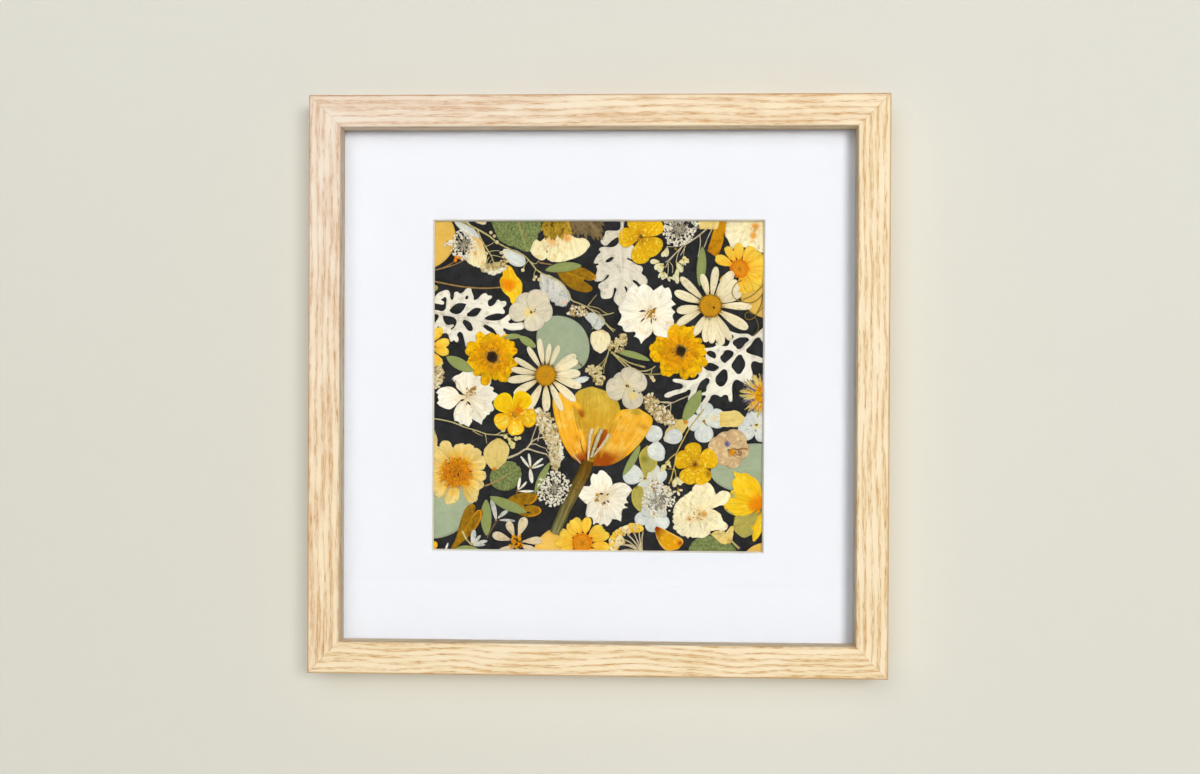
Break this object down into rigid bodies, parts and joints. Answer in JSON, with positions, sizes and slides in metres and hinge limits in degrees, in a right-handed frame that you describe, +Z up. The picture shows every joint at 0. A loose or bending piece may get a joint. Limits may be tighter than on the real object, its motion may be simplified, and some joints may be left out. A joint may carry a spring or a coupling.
{
  "type": "pressed flower frame",
  "caption": "Square oak wall frame with glass, a white mat and pressed flowers, leaves and stems on a black card, with a sawtooth hanger and bumpers at the back.",
  "frame": {"origin": "the middle notch of the sawtooth hanger, on the wall plane", "axes": "+X to the viewer's right, +Z up, -Y out of the wall towards the viewer"},
  "size_m": [0.3284, 0.025, 0.3284],
  "materials": {
    "oak": "matt clear oil",
    "clear_glass": "clear, polished",
    "mat_board": "matt",
    "black_card": "matt",
    "hardboard": "smooth hardboard",
    "steel": "zinc plated",
    "rubber": "matt",
    "white_petal": "dry, matt",
    "cream_petal": "dry, matt",
    "beige_petal": "dry, matt",
    "peach_petal": "dry, matt",
    "bluish_petal": "dry, matt",
    "gold_petal": "dry, matt",
    "yellow_petal": "dry, matt",
    "orange_petal": "dry, matt",
    "tan_petal": "dry, matt",
    "ochre_leaf": "dry, matt",
    "sage_leaf": "dry, matt",
    "green_leaf": "dry, matt"
  },
  "bodies": {
    "root": {"rail_top": "oak", "rail_right": "oak", "rail_bottom": "oak", "rail_left": "oak", "glass": "clear_glass", "mat": "mat_board", "backing_card": "black_card", "back_board": "hardboard", "tab_top_left": "steel", "tab_top_right": "steel", "tab_right_upper": "steel", "tab_right_lower": "steel", "tab_bottom_right": "steel", "tab_bottom_left": "steel", "tab_left_lower": "steel", "tab_left_upper": "steel", "sawtooth_hanger": "steel", "hanger_nail_left": "steel", "hanger_nail_right": "steel", "bumper_left": "rubber", "bumper_right": "rubber", "daisy_left": "white_petal", "daisy_right": "white_petal", "orange_daisy_right": "orange_petal", "orange_daisy_bottom": "orange_petal", "cream_daisy": "cream_petal", "star_flower": "tan_petal", "chrysanthemum_left": "gold_petal", "chrysanthemum_right": "gold_petal", "larkspur_left": "white_petal", "larkspur_middle": "white_petal", "larkspur_bottom": "white_petal", "buttercup_top": "gold_petal", "buttercup_left": "yellow_petal", "buttercup_right": "gold_petal", "viola_left": "beige_petal", "viola_middle": "beige_petal", "viola_right": "peach_petal", "hydrangea_right": "bluish_petal", "hydrangea_low": "bluish_petal", "tulip": "orange_petal", "carnation_bottom": "cream_petal", "carnation_top": "cream_petal", "cream_flower_top": "cream_petal", "yellow_flower_right": "yellow_petal", "sage_leaf_middle": "sage_leaf", "sage_leaf_left": "sage_leaf", "sage_leaf_right": "sage_leaf", "ochre_leaf_corner": "ochre_leaf", "serrated_leaf_top": "green_leaf", "serrated_leaf_small": "green_leaf", "dusty_miller_left": "white_petal", "dusty_miller_right": "white_petal", "dusty_miller_top": "beige_petal", "ochre_lobed_top": "ochre_leaf", "ochre_lobed_left": "ochre_leaf", "yarrow_left": "tan_petal", "umbel_top": "white_petal", "umbel_bottom": "white_petal"}
  },
  "joints": []
}
